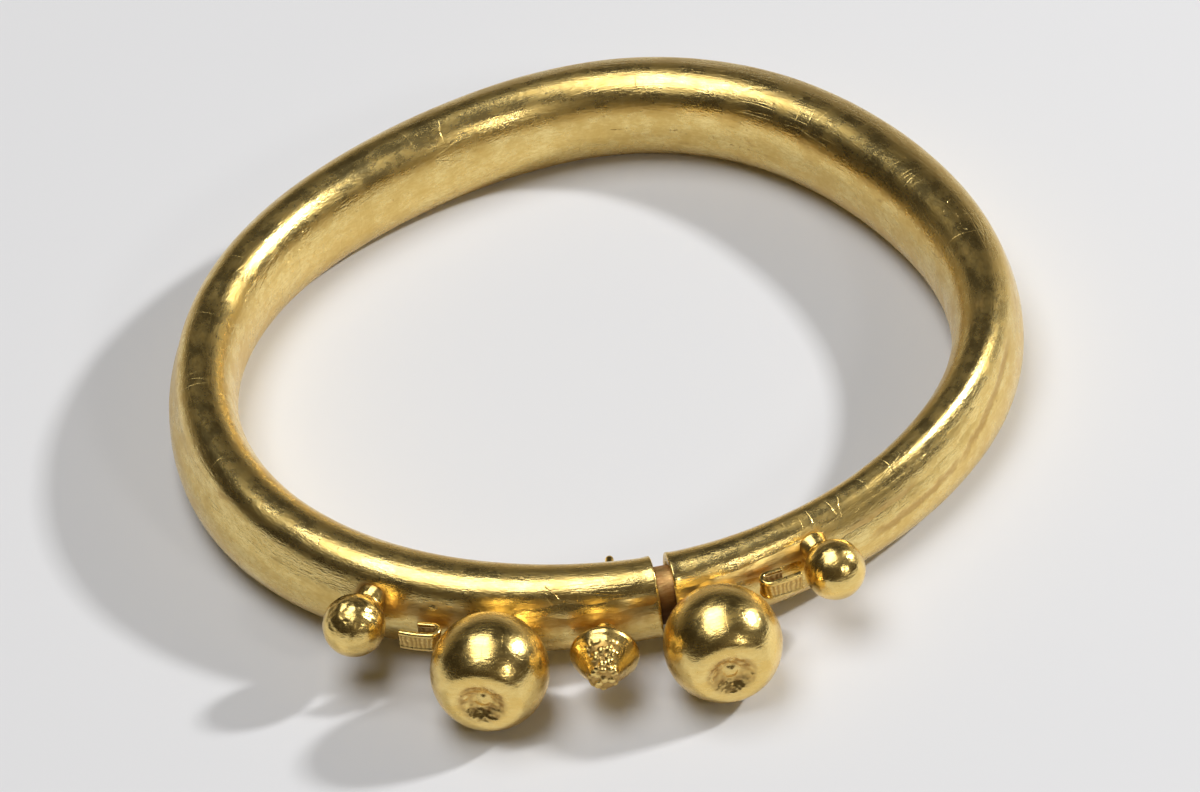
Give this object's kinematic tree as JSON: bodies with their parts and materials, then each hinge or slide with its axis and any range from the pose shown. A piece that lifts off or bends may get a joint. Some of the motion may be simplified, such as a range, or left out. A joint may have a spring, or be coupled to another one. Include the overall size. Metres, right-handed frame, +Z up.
{
  "type": "gold tubular bracelet",
  "caption": "Open tubular gold bracelet with large dimpled bosses, small balls and strip loops beside a clasp with an inner sleeve and a locking pin.",
  "frame": {"origin": "under the middle of the whole piece, on the surface that it lies on", "axes": "+Z up through the wrist opening, -Y towards the clasp and its ornaments, +X to the right of the clasp seen from in front"},
  "size_m": [0.081, 0.0892, 0.0104],
  "materials": {
    "hoop_gold": "hammered and burnished yellow gold sheet, finely scratched, softly glossy",
    "ornament_gold": "burnished yellow gold with orange-brown tint in the crevices",
    "red_gold": "redder, dull gold"
  },
  "bodies": {
    "root": {"hoop": "hoop_gold", "inner_sleeve": "red_gold", "clasp_pin": "ornament_gold", "boss_left": "ornament_gold", "boss_right": "ornament_gold", "ball_left": "ornament_gold", "ball_right": "ornament_gold", "loop_left": "ornament_gold", "loop_right": "ornament_gold"}
  },
  "joints": []
}
